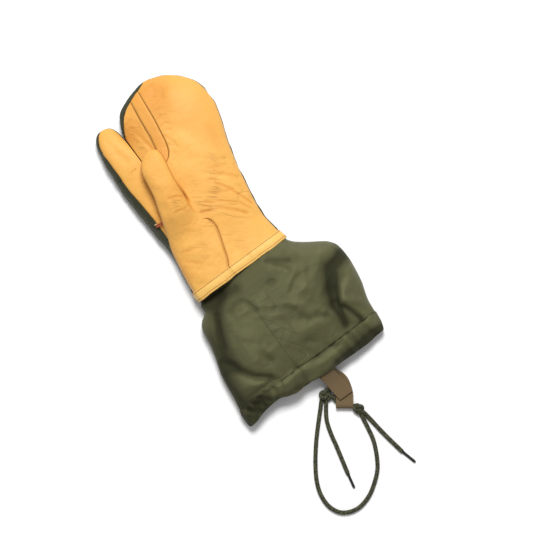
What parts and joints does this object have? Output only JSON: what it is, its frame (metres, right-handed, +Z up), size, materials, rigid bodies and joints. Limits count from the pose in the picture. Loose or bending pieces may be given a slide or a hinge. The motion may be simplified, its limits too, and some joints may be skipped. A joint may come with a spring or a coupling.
{
  "type": "trigger finger mitten shell",
  "caption": "Left-hand mitten shell with separate index and thumb stalls, leather palm, cloth back, wide cloth gauntlet and a corded hem, lying palm up.",
  "frame": {"origin": "on the underside, under the middle of the wrist, on the flat face of the wrist strap", "axes": "+Y along the forearm to the fingertips, +Z up out of the palm, +X towards the little finger"},
  "size_m": [0.197, 0.5186, 0.0485],
  "materials": {
    "leather": "soft yellow-tan grain leather",
    "olive_cloth": "tightly woven olive drab cloth with a slight sheen",
    "olive_webbing": "plain woven olive webbing",
    "brown_webbing": "brown cotton webbing",
    "braided_cord": "olive-brown braided cord",
    "sealed_tip": "melted and waxed cord end"
  },
  "bodies": {
    "root": {"palm_leather": "leather", "finger_panel": "leather", "palm_welt": "leather", "thumb": "leather", "back_cloth": "olive_cloth", "gauntlet": "olive_cloth", "facing_strip": "olive_cloth", "cuff_hem": "olive_cloth", "wrist_strap": "olive_webbing", "webbing_loop": "brown_webbing", "cord_bridge": "braided_cord", "cord_loop": "braided_cord", "cord_tail_left": "braided_cord", "cord_tail_right": "braided_cord", "knot_left": "braided_cord", "knot_right": "braided_cord", "tip_left": "sealed_tip", "tip_right": "sealed_tip"}
  },
  "joints": []
}
